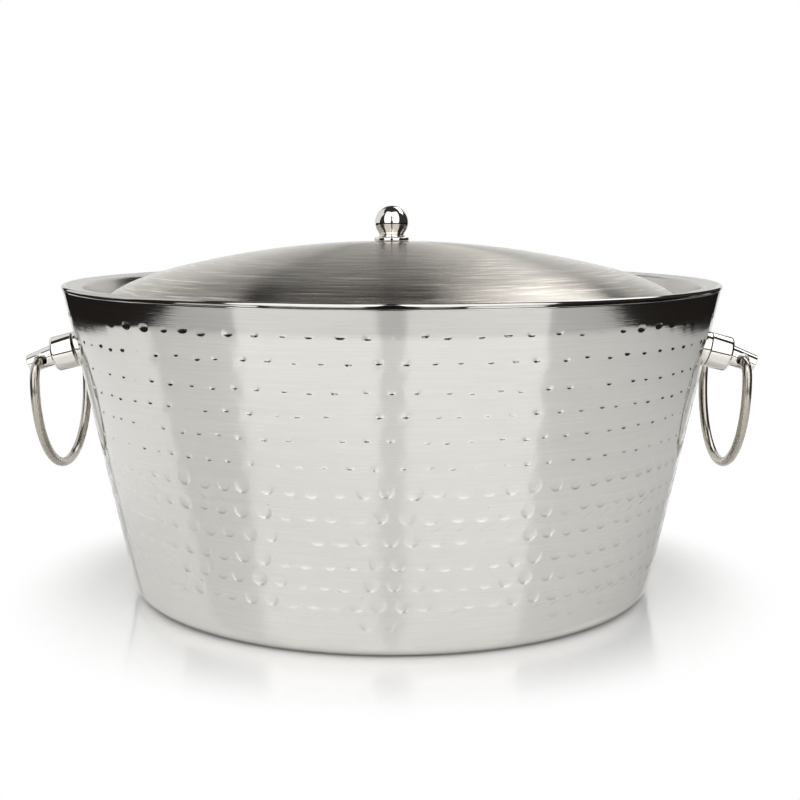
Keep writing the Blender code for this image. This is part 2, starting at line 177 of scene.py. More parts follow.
# The fastenings
SCREW_RADIUS = 0.0025
SCREW_HEAD_RADIUS = 0.0048
SCREW_HEAD_HEIGHT = 0.0032
SCREW_HEAD_EDGE = 0.0012
SOCKET_RADIUS = 0.0018
SOCKET_DEPTH = 0.0018
WASHER_RADIUS = 0.0062
WASHER_THICKNESS = 0.0010

GAP = 0.0003
SMALL_EDGE = 0.00015
SHELL_COLUMNS = 360
MOUNT_COLUMNS = 128
FACE_STEP = 15
BACK_STEP = 90
SIDES = {"left": -1, "right": 1}

# Widths of grinding and brushing lines. Real ones are about 0.1 mm: these are drawn coarser, so that they show.
GROUND_LINES = 0.0007
BRUSHED_LINES = 0.0009
SCRATCHES = 0.0013
BROAD_STREAKS = 0.0042

# Between these two values a noise pattern has nearly all of its points
GRAIN_SPAN = {"From Min": 0.3, "From Max": 0.7}

# Softboxes: azimuth from the camera's side and elevation in degrees, distance, then width, height and brightness
LAMP_AIM = 0.12
FRONT_SOFTBOX = (29, 37, 2.6)
FRONT_FACES = {"face": (2.42, 4.1, 0.56), "middle": (1.7, 3.2, 0.35), "core": (1.0, 2.3, 0.30)}
SIDE_SOFTBOXES = {"left": (-117, 26.5, 2.4, 2.45, 2.45), "right": (136, 47.5, 2.3, 1.85, 0.9)}

# Boards: the half width, y and z of two edges. The stand's edges have an elevation and half width in degrees.
ROOM_FLOOR = ((6, -6, -0.02), (6, 6, -0.02))
TRIPOD = ((0.06, -0.87, 0.13), (0.055, -0.87, 0.56))
STAND_DISTANCE = 2.3
STAND_EDGES = ((14, 1.5), (24, 2), (30, 5), (45, 2.5), (81, 1))
CAMERA_SHIFT = 0.0103

METRES = {"subtype": "DISTANCE", "unit": "LENGTH", "precision": 4}


class TubWallSettings(bpy.types.PropertyGroup):
    """Sizes of the hammered wall."""

    dents_per_turn: bpy.props.IntProperty(
        name="Dents per turn", description="Hammer marks in one row round the wall", default=88, min=24, max=120
    )
    pit_radius: bpy.props.FloatProperty(
        name="Pit radius", description="Radius of one mark's small deep middle", default=0.0016, min=0.0005,
        max=0.003, **METRES
    )
    top_pit_radius: bpy.props.FloatProperty(
        name="Top pit radius", description="The same in the top row", default=0.0021, min=0.0005, max=0.003,
        **METRES
    )
    pit_slope: bpy.props.FloatProperty(
        name="Pit slope", description="Steepest slope of a mark, as rise over run", default=0.33, min=0, max=0.6,
        subtype="FACTOR"
    )
    bowl_radius: bpy.props.FloatProperty(
        name="Bowl radius", description="Radius of the shallow bowl round the pit", default=0.0032, min=0.001,
        max=0.005, **METRES
    )
    bowl_slope: bpy.props.FloatProperty(
        name="Bowl slope", description="Slope at the bowl's edge, as rise over run", default=0.028, min=0, max=0.3,
        subtype="FACTOR"
    )
    wide_radius: bpy.props.FloatProperty(
        name="Wide mark radius", description="Radius of the marks in the lower rows, which are wide",
        default=0.0040, min=0.001, max=0.005, **METRES
    )
    wide_slope: bpy.props.FloatProperty(
        name="Wide mark slope", description="Slope at a wide mark's edge, as rise over run", default=0.28, min=0,
        max=0.6, subtype="FACTOR"
    )
    scatter: bpy.props.FloatProperty(
        name="Scatter", description="How far a mark lies from its even place along its row", default=0.0013,
        min=0, max=0.002, **METRES
    )
    lip_wave: bpy.props.FloatProperty(
        name="Lip wave", description="How unevenly the rolled lip was closed", default=0.0004, min=0, max=0.0006,
        **METRES
    )


class TubFinishSettings(bpy.types.PropertyGroup):
    """Colours of the steel, as sRGB hex values."""

    hammered: bpy.props.StringProperty(name="Hammered wall", description="Colour of the wall", default="#D9D7D3")
    inside: bpy.props.StringProperty(name="Inside", description="Colour of the inner shell", default="#C4C1BD")
    lid: bpy.props.StringProperty(name="Lid", description="Colour of the brushed lid", default="#BDB7AF")
    polished: bpy.props.StringProperty(name="Polished", description="Colour of knob and mounts", default="#E2DFDA")
    wire: bpy.props.StringProperty(name="Wire", description="Colour of the bails", default="#B9B3A9")
    fixings: bpy.props.StringProperty(name="Fixings", description="Colour of fastenings", default="#B4B3B0")


class TubStudioSettings(bpy.types.PropertyGroup):
    """Table, lamps and camera."""

    table_half_width: bpy.props.FloatProperty(
        name="Table half width", description="From the tub's axis to the table's sides", default=0.74, min=0.4,
        max=3, **METRES
    )
    table_front: bpy.props.FloatProperty(
        name="Table front", description="From the tub's axis to the table's front edge", default=0.85, min=0.4,
        max=3, **METRES
    )
    table_back: bpy.props.FloatProperty(
        name="Table back", description="From the tub's axis to the white card behind it", default=1.1, min=0.4,
        max=3, **METRES
    )
    card_height: bpy.props.FloatProperty(
        name="Card height", description="Height of the white card behind the tub", default=0.82, min=0.1, max=3,
        **METRES
    )
    table_colour: bpy.props.StringProperty(name="Table", description="Colour of the table", default="#F7F7F6")
    front_strength: bpy.props.FloatProperty(
        name="Front lamps", description="Brightness of the front softboxes' faces", default=2.9, min=0, max=5
    )
    left_strength: bpy.props.FloatProperty(
        name="Left lamp", description="Brightness of the left softbox's face", default=0.88, min=0, max=5
    )
    right_strength: bpy.props.FloatProperty(
        name="Right lamp", description="Brightness of the right softbox's face", default=2.3, min=0, max=5
    )
    room: bpy.props.FloatProperty(
        name="Room", description="Brightness of the room round the softboxes", default=0.04, min=0, max=1
    )
    lens: bpy.props.FloatProperty(
        name="Lens", description="Focal length on a sensor 36 mm wide", default=61.07, min=10, max=200,
        subtype="DISTANCE_CAMERA", unit="CAMERA"
    )
    camera_distance: bpy.props.FloatProperty(
        name="Camera distance", description="From the tub's axis", default=0.846, min=0.3, max=5, **METRES
    )
    camera_height: bpy.props.FloatProperty(
        name="Camera height", description="Above the table", default=0.237, min=0, max=3, **METRES
    )
    camera_pitch: bpy.props.FloatProperty(
        name="Camera pitch", description="How far the camera looks down", default=math.radians(8.22), min=0,
        max=1.5, subtype="ANGLE", unit="ROTATION"
    )


class TubSettings(bpy.types.PropertyGroup):
    """Everything that a user would change."""

    wall: bpy.props.PointerProperty(type=TubWallSettings)
    finish: bpy.props.PointerProperty(type=TubFinishSettings)
    studio: bpy.props.PointerProperty(type=TubStudioSettings)


# Vectors and angles

def unit(vectors):
    """Vectors divided by their lengths."""
    return vectors / np.maximum(np.linalg.norm(vectors, axis=-1, keepdims=True), 1e-9)


def even_angles(count):
    """So many even angles of one turn, from 0."""
    return np.linspace(0, math.tau, count, endpoint=False)


def polar(radius, angle, height=0):
    """The points (radius cos angle, radius sin angle, height)."""
    return np.stack(np.broadcast_arrays(radius * np.cos(angle), radius * np.sin(angle), height), axis=-1)


def turned(profile, columns):
    """A profile of (radius, height) turned about Z: the polar points at each of so many even angles."""
    return polar(profile[:, :1], even_angles(columns), profile[:, 1:])


def turn_about_y(points, angle, origin=(0, 0, 0)):
    """Each point turned about Y by an angle, x to x cos + z sin and z to z cos - x sin, and then moved."""
    x, y, z = np.moveaxis(points, -1, 0)
    x, z = x * math.cos(angle) + z * math.sin(angle), z * math.cos(angle) - x * math.sin(angle)
    return np.stack([x, y, z], axis=-1) + origin


# Profiles in the (radius, height) plane

def wall_radius(height):
    """Outer radius of the wall: the rim's radius less the fall from the rim times the tangent of the lean."""
    return RIM.x - (RIM.z - height) * math.tan(WALL_LEAN)


def wall_lean(height):
    """The lean that the wall shades with: WALL_LEAN, and less above the marks, where the hammer drew it in.

    The band's own lean falls evenly by BAND_HOLLOW from the rim to its foot, and takes over within BAND_BLEND.
    """
    share = np.clip((height - BAND_FOOT) / BAND_BLEND, 0, 1)
    band = BAND_LEAN - BAND_HOLLOW * (RIM.z - height) / (RIM.z - BAND_FOOT)
    return WALL_LEAN + (band - WALL_LEAN) * share


def arc(centre, radius, start, end, step):
    """Points of a circle about the centre from one angle to another in degrees, none more than a step apart."""
    count = max(2, math.ceil(abs(end - start) / step) + 1)
    return polar(radius, np.radians(np.linspace(start, end, count)))[:, :2] + centre


def rounded(points, radii, step):
    """A polyline whose inner corners become arcs.

    An arc of radius r leaves each leg at r times the tangent of half the turn from the corner. Its centre lies r
    to the inside of the first leg, and its points are that centre less the inward normal turned by 0 to the turn.
    """
    points = np.asarray(points, float)
    path = [points[:1]]
    for before, corner, after, radius in zip(points, points[1:], points[2:], radii):
        into, out = unit(corner - before), unit(after - corner)
        cross = into[0] * out[1] - into[1] * out[0]
        turn = math.atan2(abs(cross), into @ out)
        side = math.copysign(1, cross)
        inward = np.array([-into[1], into[0]]) * side
        start = corner - into * radius * math.tan(turn / 2)
        swing = side * np.linspace(0, turn, max(2, math.ceil(math.degrees(turn) / step) + 1))
        x, y = -inward * radius
        arm = np.stack([x * np.cos(swing) - y * np.sin(swing), x * np.sin(swing) + y * np.cos(swing)], axis=1)
        path.append(start + inward * radius + arm)
    path.append(points[-1:])
    return np.concatenate(path)


def leg_normals(path):
    """The left-hand unit normal of each leg of a path."""
    return unit(np.diff(path, axis=0))[:, ::-1] * [-1, 1]


def profile_normals(path):
    """At each point of a path, the mean of the normals of the two legs that meet there."""
    normals = leg_normals(path)
    return unit(np.concatenate([normals[:1], normals[:-1] + normals[1:], normals[-1:]]))


def offset(path, distance):
    """The path moved left: each point along its normal by the distance over the cosine of half the turn."""
    normals, legs = profile_normals(path), leg_normals(path)
    cosine = (normals * np.concatenate([legs[:1], legs])).sum(axis=1)
    return path + normals * (distance / np.maximum(cosine, 0.5))[:, None]


def outer_sheet(step):
    """Middle of the outer sheet, from the base's centre to its edge under the lip, bends in steps of degrees."""
    foot = wall_radius(HALF_SHEET) - SIDE_SHIFT
    ring = foot - (BASE_CORNER - HALF_SHEET) * math.tan((math.pi / 2 - WALL_LEAN) / 2) - BASE_RING
    edge = RIM.x - LIP_ROLL
    joggle_top = RIM.z - LIP_ROLL - LIP_LEG - LIP_GAP
    joggle_low = joggle_top - JOGGLE_HEIGHT
    points = [
        (0, HALF_SHEET + BASE_RECESS),
        (ring - BASE_STEP, HALF_SHEET + BASE_RECESS),
        (ring, HALF_SHEET),
        (foot, HALF_SHEET),
        (wall_radius(joggle_low) - SIDE_SHIFT, joggle_low),
        (edge, joggle_top),
        (edge, RIM.z - LIP_ROLL),
    ]
    bends = [FORMING_RADIUS, FORMING_RADIUS, BASE_CORNER - HALF_SHEET, JOGGLE_BEND, JOGGLE_BEND]
    return rounded(points, bends, step)


def ledge_edge_radius():
    """Radius of the inner wall's face where it comes down to the ledge."""
    return RIM.x - RIM_LAND - (LEDGE_DEPTH - LAND_FALL) * math.tan(WALL_LEAN)


def inner_sheet():
    """Middle of the inner sheet: floor, wall, ledge, wall, land, and the lip rolled outward and down."""
    floor = INNER_FLOOR + HALF_SHEET
    ledge = RIM.z - LEDGE_DEPTH - HALF_SHEET
    above = ledge_edge_radius() + SIDE_SHIFT
    below = above - LEDGE_WIDTH
    centre = (RIM.x - LIP_ROLL, RIM.z - LIP_ROLL)
    roll = LIP_ROLL - HALF_SHEET
    points = [
        (0, floor),
        (below - (ledge - floor) * math.tan(WALL_LEAN), floor),
        (below, ledge),
        (above, ledge),
        (RIM.x - RIM_LAND + SIDE_SHIFT, RIM.z - LAND_FALL - HALF_SHEET),
        (centre[0], centre[1] + roll),
    ]
    path = rounded(points, [INNER_CORNER] + [FORMING_RADIUS] * 3, 8)[:-1]
    leg = [(centre[0] + roll, centre[1] - fall) for fall in np.linspace(0, LIP_LEG, 4)[1:]]
    return np.concatenate([path, arc(centre, roll, 90, 0, 7), leg])


def lid_edge():
    """The middle of the lid's beaded edge."""
    return ledge_edge_radius() - LID_PLAY - LID_BEAD, RIM.z - LEDGE_DEPTH + GAP + LID_BEAD


def lid_sheet():
    """Middle of the lid's sheet.

    The dome is an arc with its centre on the axis, which falls by its share over its share of the radius. The
    shoulder is the arc that leaves it in line and ends in the bead.
    """
    apex = RIM.z + LID_RISE - LID_SHEET / 2
    edge = np.array(lid_edge())
    dome_radius = DOME_SHARE_OF_RADIUS * edge[0]
    dome_fall = DOME_SHARE_OF_FALL * (apex - edge[1])
    dome = (dome_radius**2 + dome_fall**2) / (2 * dome_fall)
    reach = math.degrees(math.asin(dome_radius / dome))
    hole = math.degrees(math.asin((SCREW_RADIUS + GAP) / dome))
    top = arc((0, apex - dome), dome, 90 - hole, 90 - reach, 0.5)
    chord = edge - top[-1]
    half_turn = -reach - math.degrees(math.atan2(chord[1], chord[0]))
    shoulder = np.linalg.norm(chord) / 2 / math.sin(math.radians(half_turn))
    slope = math.radians(reach)
    centre = top[-1] - np.array([math.sin(slope), math.cos(slope)]) * shoulder
    side = arc(centre, shoulder, 90 - reach, 90 - reach - 2 * half_turn, 1.2)
    return np.concatenate([top, side[1:]])


# Surfaces

def grid_mesh(name, points, close_rows=False):
    """A closed mesh from a grid of points, rows by columns by three, and which of the points it uses.

    Each column joins the next, and the last joins the first. Two neighbouring rows are joined by four-sided faces.
    A first or last row with no width is a pole and gets triangles. The volume is a sixth of the sum of the triple
    products of the faces' corners, and a negative one turns all faces round.
    """
    rows, columns = points.shape[:2]
    index = np.arange(rows * columns).reshape(rows, columns)
    low = index if close_rows else index[:-1]
    high = np.roll(index, -1, axis=0) if close_rows else index[1:]
    quads = np.stack([low, np.roll(low, -1, axis=1), np.roll(high, -1, axis=1), high], axis=2)
    pole_first, pole_last = (not close_rows and np.ptp(points[k], axis=0).max() < 1e-9 for k in (0, -1))
    parts = [quads[int(pole_first) : len(quads) - int(pole_last)].reshape(-1, 4)]
    if pole_first:
        parts.append(np.stack([np.full(columns, index[0, 0]), np.roll(index[1], -1), index[1]], axis=1))
    if pole_last:
        parts.append(np.stack([index[-2], np.roll(index[-2], -1), np.full(columns, index[-1, 0])], axis=1))
    vertices = points.reshape(-1, 3)
    corner = [vertices[parts[0][:, k]] for k in range(4)]
    diagonal = np.cross(corner[2] - corner[0], corner[3] - corner[1])
    if (diagonal * (corner[0] + corner[2])).sum() < 0:
        parts = [part[:, ::-1] for part in parts]
    used = np.unique(np.concatenate([part.ravel() for part in parts]))
    place = np.zeros(len(vertices), int)
    place[used] = np.arange(len(used))
    mesh = bpy.data.meshes.new(name)
    mesh.from_pydata(vertices[used].tolist(), [], [face for part in parts for face in place[part].tolist()])
    return mesh, used


def surface(name, points, finish, body, replaces, close_rows=False, normals=None, crease=30):
    """A piece from a closed grid, shaded by given normals, or smoothly with edges past the crease in degrees."""
    mesh, used = grid_mesh(name, points, close_rows)
    mesh.shade_smooth()
    if normals is None:
        mesh.set_sharp_from_angle(angle=math.radians(crease))
    else:
        mesh.normals_split_custom_set_from_vertices(normals.reshape(-1, 3)[used].tolist())
    placed(name, mesh, finish, body, replaces)


def placed(name, mesh, finish, body, replaces):
    """An object at the origin that rides on a body and stands for CAD nodes."""
    mesh.materials.append(finish)
    piece = bpy.data.objects.new(name, mesh)
    bpy.context.scene.collection.objects.link(piece)
    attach(piece, body)
    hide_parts(*replaces)


def dents(settings):
    """The bent grid of the hammered wall: each vertex's angle and height, its push inward, and its slope's way.

    Every dent has eight columns and eight rows, bent into four rings about its centre: a place (a, b) of the
    square goes to ring max(|a|, |b|), at an angle of pi/4 times b/a, or of pi/2 less pi/4 times a/b where |b| is
    the larger. The slope grows from the centre to the pit's edge, drops outside it, and is shallow over the bowl
    round the pit. In the lowest WIDE_ROWS rows it grows from the pit to a steep lip and is nothing just outside
    it. Each mark is steepest at its lower side and shallow at its upper, as a punch held low leaves it. The push
    is the slope's running sum from the outer ring inward. Between two dents the shading turns evenly from one
    mark's edge to the next, as on sheet that is drawn in all round its marks.
    """
    random = np.random.default_rng(11)
    count, rows = settings.dents_per_turn, len(DENT_ROWS)
    heights = np.array(DENT_ROWS)[::-1]
    radii = wall_radius(heights)[:, None]
    shape = (rows, count)
    stagger = 0.5 * (np.arange(rows) % 2) + random.uniform(-ROW_SHIFT, ROW_SHIFT, rows)
    wide = np.broadcast_to((np.arange(rows) < WIDE_ROWS)[:, None], shape)
    stray = np.where(wide, WIDE_STRAY, NARROW_STRAY)
    centre = (np.arange(count) + stagger[:, None]) * math.tau / count
    centre += np.clip(random.normal(0, settings.scatter, shape), -stray, stray) / radii
    height = heights[:, None] + np.clip(random.normal(0, LEVEL_SCATTER, shape), -LEVEL_STRAY, LEVEL_STRAY)
    force = random.uniform(*FORCE_RANGE, shape)
    force *= np.where(random.uniform(size=shape) < WEAK_SHARE, WEAK_FORCE, 1)
    # The wide marks were struck more evenly
    force = np.where(wide, np.clip(0.8 * force + 0.2, 0.5, 1), force)
    force[0] *= np.where(random.uniform(size=count) < BOTTOM_SHARE, BOTTOM_FORCE, 0)
    pit = settings.pit_radius * random.uniform(*PIT_RANGE, shape)
    pit[-1] = settings.top_pit_radius * random.uniform(*TOP_PIT_RANGE, count)
    force[-1] *= TOP_FORCE
    stretch = np.where(wide, 1, NARROW_STRETCH)
    stretch[-1] = TOP_STRETCH
    bowl = np.maximum(settings.bowl_radius * random.uniform(*BOWL_RANGE, shape), 1.35 * pit)
    edge = settings.wide_radius * random.uniform(*WIDE_RANGE, shape)

    steps = np.array([-4, -3, -2, -1, 1, 2, 3, 4])
    across, up = np.meshgrid(steps, steps)
    flat = abs(across) >= abs(up)
    tilt = np.where(flat, math.pi / 4 * up / across, math.pi / 2 - math.pi / 4 * across / up)
    sign = np.where(np.where(flat, across, up) < 0, -1, 1)
    ring = np.maximum(abs(across), abs(up)) - 1
    # The four rings' reach and slope, from the centre out
    reach = np.where(wide, [0.8 * pit, 1.25 * pit, edge, 1.2 * edge], [0.5 * pit, 0.95 * pit, 1.3 * pit, bowl])
    deep, lip, shallow = force * settings.pit_slope, force * settings.wide_slope, force * settings.bowl_slope
    slope = np.where(
        wide, [0.35 * deep, 0.02 * force, lip, 0 * force], [0.53 * deep, deep, 0.4 * shallow, shallow]
    )
    steps_in = (slope[:-1] + slope[1:]) / 2 * np.diff(reach, axis=0)
    push = np.concatenate([np.cumsum(steps_in[::-1], axis=0)[::-1], np.zeros((1, *shape))])

    def spread(values):
        """Ring values, each by row and dent, laid out as the grid: rows, then columns."""
        return values[ring].transpose(2, 0, 3, 1).reshape(rows * 8, count * 8)

    way = np.stack([np.cos(tilt) * sign, np.sin(tilt) * sign])
    way = np.broadcast_to(way[:, None, :, None, :], (2, rows, 8, count, 8)).reshape(2, rows * 8, count * 8)
    whole = np.ones((4, *shape))
    angle = spread(whole * centre) + way[0] * spread(reach / radii * stretch)
    level = spread(whole * height) + way[1] * spread(reach) * math.cos(WALL_LEAN)
    return angle, level, spread(push), way * spread(slope) * (SLOPE_MIDDLE - SLOPE_TILT * way[1])


def hammered_wall(settings, finish):
    """The outer sheet: the profile turned about Z, with each dent pressed in along the wall's normal.

    A vertex at height z lies at wall_radius(z), less the dent's push there. The shading normal is the wall's own,
    leaned toward the dent's centre by the slope.
    """
    angle, level, push, slope = dents(settings)
    lean = wall_lean(level)
    outward = polar(np.cos(lean), angle, -np.sin(lean))
    up_way = polar(np.sin(lean), angle, np.cos(lean))
    round_way = polar(1, angle + math.pi / 2)
    dented = polar(wall_radius(level), angle, level) - outward * push[..., None]
    leaned = unit(outward - round_way * slope[0, ..., None] - up_way * slope[1, ..., None])

    # The back isn't seen, so its bends are coarse
    path, back_path = outer_sheet(FACE_STEP), outer_sheet(BACK_STEP)[::-1]
    face, back = offset(path, -HALF_SHEET), offset(back_path, -HALF_SHEET)
    face[0, 0] = back[-1, 0] = 0
    normals = -profile_normals(path)
    foot = face[:, 1] < level.min() - 0.001
    head = face[:, 1] > level.max() + 0.0005
    # The joggle's bend starts along the band, so that the band shades with its own lean up to it
    lean = wall_lean(face[np.argmax(head), 1])
    normals[np.argmax(head)] = np.cos(lean), -np.sin(lean)

    def ringed(values, at):
        """A profile's values at each angle of one row of the grid."""
        return polar(values[:, :1], at, values[:, 1:])

    low, high = angle[:1], angle[-1:]
    points = [ringed(face[foot], low), dented, ringed(face[head], high), ringed(back, high)]
    normals = [ringed(normals[foot], low), leaned, ringed(normals[head], high),
               ringed(-profile_normals(back_path), high)]
    surface("hammered_wall", np.concatenate(points), finish, "tub", ["outer_shell"],
            normals=np.concatenate(normals))


def inner_wall(settings, finish):
    """The inner sheet, turned about Z, its lip closed unevenly.

    A wave made of a few sines makes the lip's leg longer where it is high, and tucks the leg in where it is low.
    """
    path = inner_sheet()
    outer, inner = offset(path, -HALF_SHEET), offset(path, HALF_SHEET)
    outer[0, 0] = inner[0, 0] = 0
    points = turned(np.concatenate([outer, inner[::-1]]), SHELL_COLUMNS)
    angle = even_angles(SHELL_COLUMNS)
    wave = sum(size * np.sin(turns * angle + phase) for turns, phase, size in LIP_WAVES).clip(-1, 1)
    roll_low = RIM.z - LIP_ROLL
    spread = np.hypot(points[..., 0], points[..., 1])
    on_leg = (spread > RIM.x - LIP_ROLL) & (points[..., 2] < roll_low)
    reach = np.where(on_leg, (roll_low - points[..., 2]) / LIP_LEG, 0)
    tuck = reach * np.clip(-wave, 0, 1) * LIP_TUCK
    points[..., :2] *= (1 - tuck / spread.clip(LIP_ROLL))[..., None]
    points[..., 2] -= reach * wave * settings.lip_wave
    surface("inner_wall", points, finish, "tub", ["inner_shell"])


def lid_shape(finish):
    """The lid's sheet turned about Z: top face, round bead, under face, and back up at the screw's hole."""
    path = lid_sheet()
    top, under = (offset(path, side * LID_SHEET / 2)[:-1] for side in (1, -1))
    last = path[-1] - path[-2]
    heading = math.degrees(math.atan2(last[1], last[0]))
    joins = 180 - math.degrees(math.asin(LID_SHEET / 2 / LID_BEAD))
    bead = arc(path[-1], LID_BEAD, heading + joins, heading - joins, 12)
    profile = np.concatenate([top, bead, under[::-1]])
    points = turned(profile, SHELL_COLUMNS)
    surface("brushed_lid", points, finish, "lid", ["lid"], close_rows=True)


def knob_shapes(finish, fixing_finish):
    """Ball, neck, foot and flange, and the screw and washer under the lid, each turned about the lid's axis."""
    crown = RIM.z + LID_RISE
    foot = FLANGE_THICKNESS + 2 * GAP
    ball = arc((0, KNOB_CENTRE), KNOB_BALL, KNOB_TAPER_MEETS, 90, 4)
    ball[-1, 0] = 0
    side = rounded(
        [
            (KNOB_FOOT - KNOB_FOOT_FLAT, foot),
            (KNOB_FOOT, foot),
            (KNOB_FOOT, foot + KNOB_FOOT_HEIGHT),
            (KNOB_NECK, foot + KNOB_NECK_START),
            (KNOB_NECK, foot + KNOB_NECK_END),
            ball[0],
        ],
        KNOB_BENDS,
        10,
    )
    profile = np.concatenate([[(0, foot)], side[:-1], ball])
    surface("knob_ball", turned(profile + [0, crown], 96), finish, "lid", ["knob"])

    high = GAP + FLANGE_THICKNESS
    flange = [(0, GAP), (FLANGE_RADIUS, GAP), (FLANGE_RADIUS, high), (0, high)]
    points = turned(rounded(flange, [SMALL_EDGE, FLANGE_EDGE], 10) + [0, crown], MOUNT_COLUMNS)
    surface("knob_flange_disc", points, finish, "lid", ["knob_flange"])

    under = crown - LID_SHEET - GAP
    low, bore = under - WASHER_THICKNESS, SCREW_RADIUS + GAP
    washer = rounded(
        [(bore, under), (bore, low), (WASHER_RADIUS, low), (WASHER_RADIUS, under), (bore, under)],
        [SMALL_EDGE] * 3,
        30,
    )[:-1]
    surface("lid_washer", turned(washer, 64), fixing_finish, "lid", ["knob_washer"], close_rows=True)

    bearing = low - GAP
    end = bearing - SCREW_HEAD_HEIGHT
    floor = end + SOCKET_DEPTH
    screw = rounded(
        [(0, floor), (SOCKET_RADIUS, floor), (SOCKET_RADIUS, end), (SCREW_HEAD_RADIUS, end),
         (SCREW_HEAD_RADIUS, bearing), (SCREW_RADIUS, bearing), (SCREW_RADIUS, under), (0, under)],
        [SMALL_EDGE, SMALL_EDGE, SCREW_HEAD_EDGE] + [SMALL_EDGE] * 3,
        15,
    )
    points = turned(screw, 72)
    hexagon = math.cos(math.pi / 6) / np.cos((even_angles(72) + math.pi / 6) % (math.pi / 3) - math.pi / 6)
    socket = (screw[:, 0] < SOCKET_RADIUS + 0.0002) & (screw[:, 1] < floor + 0.0001)
    points[socket, :, :2] *= hexagon[None, :, None]
    surface("lid_screw", points, fixing_finish, "lid", ["knob_screw"])


def mount_frame(side):
    """Where a handle's axis meets the wall, and the turn about Y that lays local Z along the axis, outward."""
    return (side * wall_radius(HANDLE_HEIGHT), 0, HANDLE_HEIGHT), side * (math.pi / 2 + HANDLE_DROOP)


def boss_face():
    """Where the boss's outer face lies along the handle's axis, from the wall."""
    return COLLAR_LENGTH + BOSS_LENGTH + 2 * GAP


def collar_shape(name, side, finish):
    """A sleeve about the handle's axis whose back follows the wall, its front cut a little out of square.

    A line along the axis from (r cos a, r sin a, 0) meets the wall's cone where the square of its distance from Z
    equals the square of the cone's radius at its height, which is a quadratic in the distance along the line. The
    front is cut back by the collar's opening at the bottom, and by a smaller share of it toward the top.
    """
    origin, turn = mount_frame(side)
    front, bore = GAP + COLLAR_LENGTH, SCREW_RADIUS + GAP
    radii = np.array([BOSS_RADIUS, BOSS_RADIUS - SEAT_EDGE_IN, bore])
    base = turn_about_y(polar(radii[:, None], even_angles(MOUNT_COLUMNS)), turn, origin)
    axis = np.array([math.sin(turn), 0, math.cos(turn)])
    slope = math.tan(WALL_LEAN)
    cone = RIM.x - (RIM.z - base[..., 2]) * slope + GAP / math.cos(WALL_LEAN)
    a = axis[0] ** 2 - (slope * axis[2]) ** 2
    b = base[..., 0] * axis[0] - cone * slope * axis[2]
    c = base[..., 0] ** 2 + base[..., 1] ** 2 - cone**2
    along = (-b + np.sqrt(b * b - a * c)) / a
    along[0] += SEAT_EDGE_OUT
    seat = base + along[..., None] * axis
    face = rounded([(bore, front), (BOSS_RADIUS, front), (BOSS_RADIUS, 0)], [COLLAR_EDGE], 15)[:-1]
    sleeve = turned(face, MOUNT_COLUMNS)
    under = (1 + side * sleeve[..., 0] / BOSS_RADIUS) / 2
    opening = (OPENING_AT_TOP + (1 - OPENING_AT_TOP) * under) * COLLAR_OPENING[name]
    sleeve[..., 2] -= np.where(sleeve[..., 2] > front / 2, opening, 0)
    points = np.concatenate([turn_about_y(sleeve, turn, origin), seat])
    surface(f"collar_sleeve_{name}", points, finish, "tub", [f"collar_{name}"], close_rows=True)


def boss_shape(name, side, finish):
    """The boss turned about the handle's axis, its spot face a round pocket about the steeper post's axis.

    A point (s cos a, s sin a, t) about the post's axis is turned about Y by the difference of the two slopes. On
    the boss's face t is s cos a times the tangent of that difference.
    """
    origin, turn = mount_frame(side)
    back, face = GAP + COLLAR_LENGTH + GAP, boss_face()
    outline = rounded(
        [(0, back), (BOSS_RADIUS, back), (BOSS_RADIUS, face), (POST_ROOT_RADIUS + POCKET_LAND, face)],
        [COLLAR_EDGE, BOSS_FILLET],
        8,
    )
    steeper = side * (POST_DROOP - HANDLE_DROOP)
    angle = even_angles(MOUNT_COLUMNS)
    seat = POST_ROOT_RADIUS + GAP
    floor = -POST_ROOT_RADIUS * math.tan(abs(steeper)) - GAP
    lift = seat * np.cos(angle) * math.tan(steeper)
    pocket = np.stack([polar(seat, angle, lift), polar(seat, angle, floor), polar(0, angle, floor)])
    points = np.concatenate([turned(outline, MOUNT_COLUMNS), turn_about_y(pocket, steeper, (0, 0, face))])
    points = turn_about_y(points, turn, origin)
    surface(f"boss_body_{name}", points, finish, "tub", [f"boss_{name}"])


def values_of(items, key, width=1, kind=np.float32):
    """One property of a mesh's items as an array."""
    values = np.zeros(len(items) * width, kind)
    items.foreach_get(key, values)
    return values.reshape(-1, width).astype(float) if width > 1 else values


